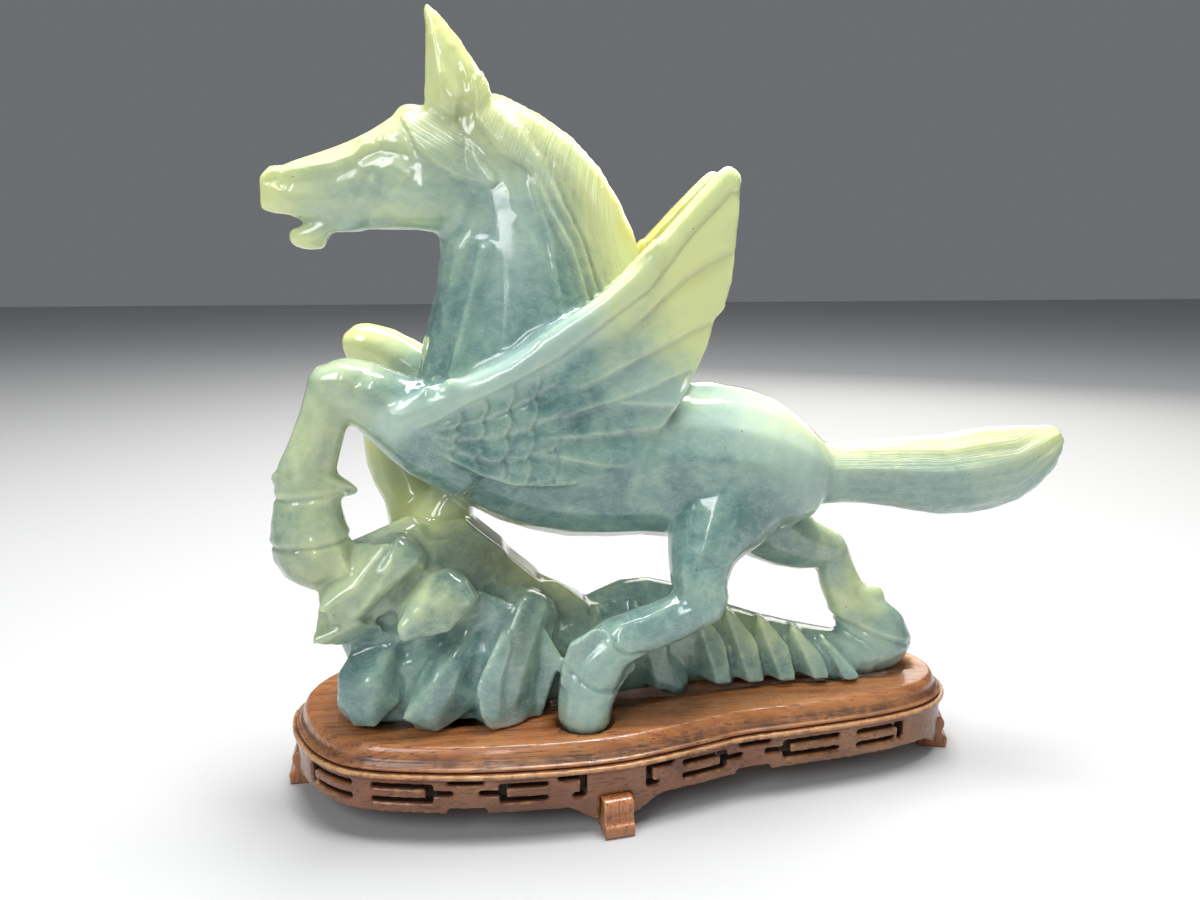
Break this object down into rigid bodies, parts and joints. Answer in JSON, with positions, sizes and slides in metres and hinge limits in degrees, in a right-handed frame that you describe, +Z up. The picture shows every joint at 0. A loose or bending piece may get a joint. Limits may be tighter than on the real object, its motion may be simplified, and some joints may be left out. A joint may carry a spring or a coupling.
{
  "type": "jade horse figurine on a stand",
  "caption": "Winged horse carved with its rockwork from one block of pale green stone, standing in a shallow pocket on a moulded hardwood stand with a fret-sawn apron and flared feet.",
  "frame": {"origin": "under the middle of the whole object's box, on the surface that it stands on", "axes": "+Z up, +X towards the tip of the tail, the horse's head towards -X, its left side towards -Y"},
  "size_m": [0.309, 0.1068, 0.2847],
  "materials": {
    "jade": "polished",
    "hardwood": "oiled and varnished",
    "peg_wood": "bare"
  },
  "bodies": {
    "stand": {"top_board": "hardwood", "apron_ring": "hardwood", "foot_left": "hardwood", "foot_pin_left": "peg_wood", "foot_right": "hardwood", "foot_pin_right": "peg_wood", "foot_front": "hardwood", "foot_pin_front": "peg_wood", "foot_back": "hardwood", "foot_pin_back": "peg_wood"},
    "carving": {"winged_horse_carving": "jade"}
  },
  "joints": [
    {"name": "carving_lift", "type": "slide", "parent": "stand", "child": "carving", "axis": [0, 0, 1], "range_m": [0, 0.05]}
  ]
}
